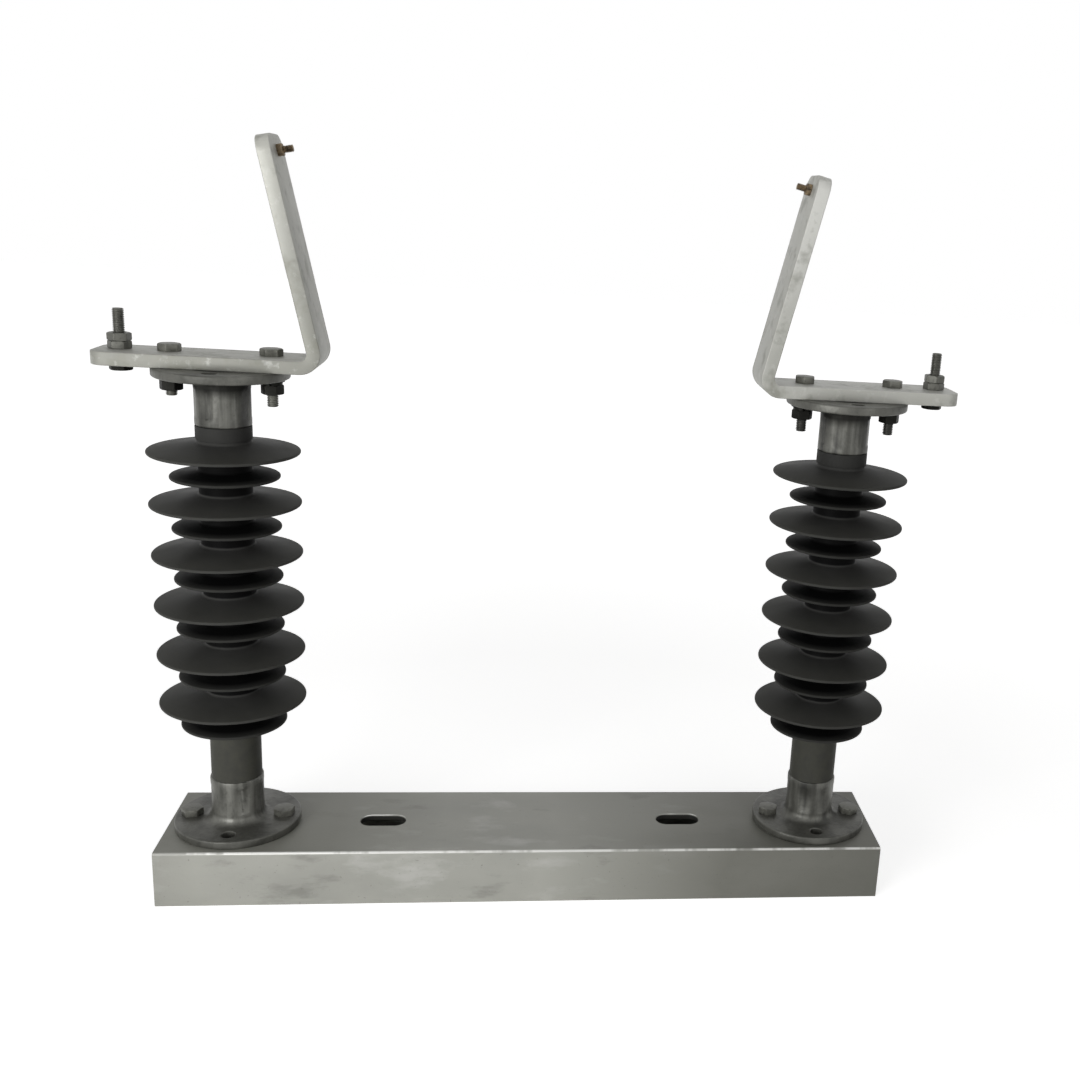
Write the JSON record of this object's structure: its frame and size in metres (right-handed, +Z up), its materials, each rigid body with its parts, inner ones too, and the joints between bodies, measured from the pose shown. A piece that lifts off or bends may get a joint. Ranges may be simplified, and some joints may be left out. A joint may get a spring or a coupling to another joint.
{
  "type": "horn gap fuse",
  "caption": "Horn gap fuse: two ribbed polymer insulators on a steel channel, each with a bent flat aluminium horn bar and a terminal stud.",
  "frame": {"origin": "middle of the channel, on the plane of its two toes", "axes": "+X along the channel from the left insulator to the right one, -Y the front, +Z up"},
  "size_m": [0.616, 0.1036, 0.556],
  "materials": {
    "channel": "galvanised, dull, rubbed bright at the edges",
    "fitting": "dark galvanised casting, crimped",
    "fastener": "dull galvanised",
    "rubber": "dark grey silicone rubber, satin",
    "rod": "glass fibre and resin",
    "bar": "drawn flat, dull",
    "clamp": "dark tarnished brass"
  },
  "bodies": {
    "root": {"base_channel": "channel", "left_arm_bolt_inner": "fastener", "left_arm_bolt_outer": "fastener", "left_arm_nut_inner": "fastener", "left_arm_nut_outer": "fastener", "left_arm_spring_washers": "fastener", "left_arm_washers": "fastener", "left_base_bolt_inner": "fastener", "left_base_bolt_outer": "fastener", "left_base_nut_inner": "fastener", "left_base_nut_outer": "fastener", "left_base_washers": "fastener", "left_core_rod": "rod", "left_horn_bar": "bar", "left_insulator_housing": "rubber", "left_lower_fitting": "fitting", "left_terminal_bolt": "fastener", "left_terminal_lock_nut": "fastener", "left_terminal_nut": "fastener", "left_tip_bolt": "clamp", "left_tip_nut": "clamp", "left_upper_fitting": "fitting", "right_arm_bolt_inner": "fastener", "right_arm_bolt_outer": "fastener", "right_arm_nut_inner": "fastener", "right_arm_nut_outer": "fastener", "right_arm_spring_washers": "fastener", "right_arm_washers": "fastener", "right_base_bolt_inner": "fastener", "right_base_bolt_outer": "fastener", "right_base_nut_inner": "fastener", "right_base_nut_outer": "fastener", "right_base_washers": "fastener", "right_core_rod": "rod", "right_horn_bar": "bar", "right_insulator_housing": "rubber", "right_lower_fitting": "fitting", "right_terminal_bolt": "fastener", "right_terminal_lock_nut": "fastener", "right_terminal_nut": "fastener", "right_tip_bolt": "clamp", "right_tip_nut": "clamp", "right_upper_fitting": "fitting"}
  },
  "joints": []
}
